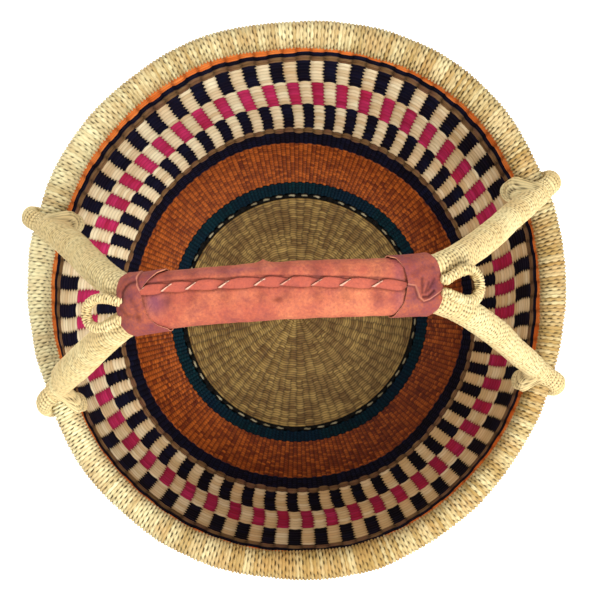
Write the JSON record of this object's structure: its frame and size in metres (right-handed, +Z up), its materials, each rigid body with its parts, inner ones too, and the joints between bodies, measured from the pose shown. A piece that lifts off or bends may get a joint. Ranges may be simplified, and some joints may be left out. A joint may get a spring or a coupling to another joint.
{
  "type": "bolga basket",
  "caption": "Round woven straw basket with a flat base, flared sides, a bound rim and a fixed double arch handle in a leather grip.",
  "frame": {"origin": "centre of the base on its underside", "axes": "+X along the leather grip to the right end, +Y to the back of the basket, +Z up through the rim"},
  "size_m": [0.4085, 0.4104, 0.3419],
  "materials": {
    "natural_straw_floor": "undyed straw, woven, dull sheen",
    "black_straw": "black straw with pale slanted stitches",
    "teal_straw": "dark teal dyed straw",
    "burnt_orange_straw": "burnt orange dyed straw",
    "navy_straw": "navy dyed straw",
    "brown_straw": "brown dyed straw",
    "check_straw_navy": "undyed straw with navy checks",
    "check_straw_pink": "undyed straw with pink checks",
    "bright_orange_straw": "bright orange dyed straw",
    "grass_core": "bundle of stiff grass stems",
    "bound_straw": "pale straw bound tightly round a core",
    "salmon_leather": "salmon dyed leather, wrinkled, soft sheen",
    "lace_leather": "salmon leather strip with pale cut edges",
    "collar_leather": "darker red leather, folded and tucked"
  },
  "bodies": {
    "root": {"floor_disc": "natural_straw_floor", "dashed_round": "black_straw", "teal_band": "teal_straw", "orange_band": "burnt_orange_straw", "navy_band": "navy_straw", "brown_lower_round": "brown_straw", "check_row_lower": "check_straw_navy", "check_row_middle": "check_straw_pink", "check_row_upper": "check_straw_navy", "brown_upper_round": "brown_straw", "navy_upper_round": "navy_straw", "orange_top_band": "bright_orange_straw", "rim_core": "grass_core", "rim_binding": "bound_straw", "back_arch_core": "grass_core", "front_arch_core": "grass_core", "back_arch_binding": "bound_straw", "front_arch_binding": "bound_straw", "leather_sleeve": "salmon_leather", "leather_lace": "lace_leather", "left_collar": "collar_leather", "right_collar": "collar_leather", "left_throat_loop": "bound_straw", "right_throat_loop": "bound_straw"}
  },
  "joints": []
}
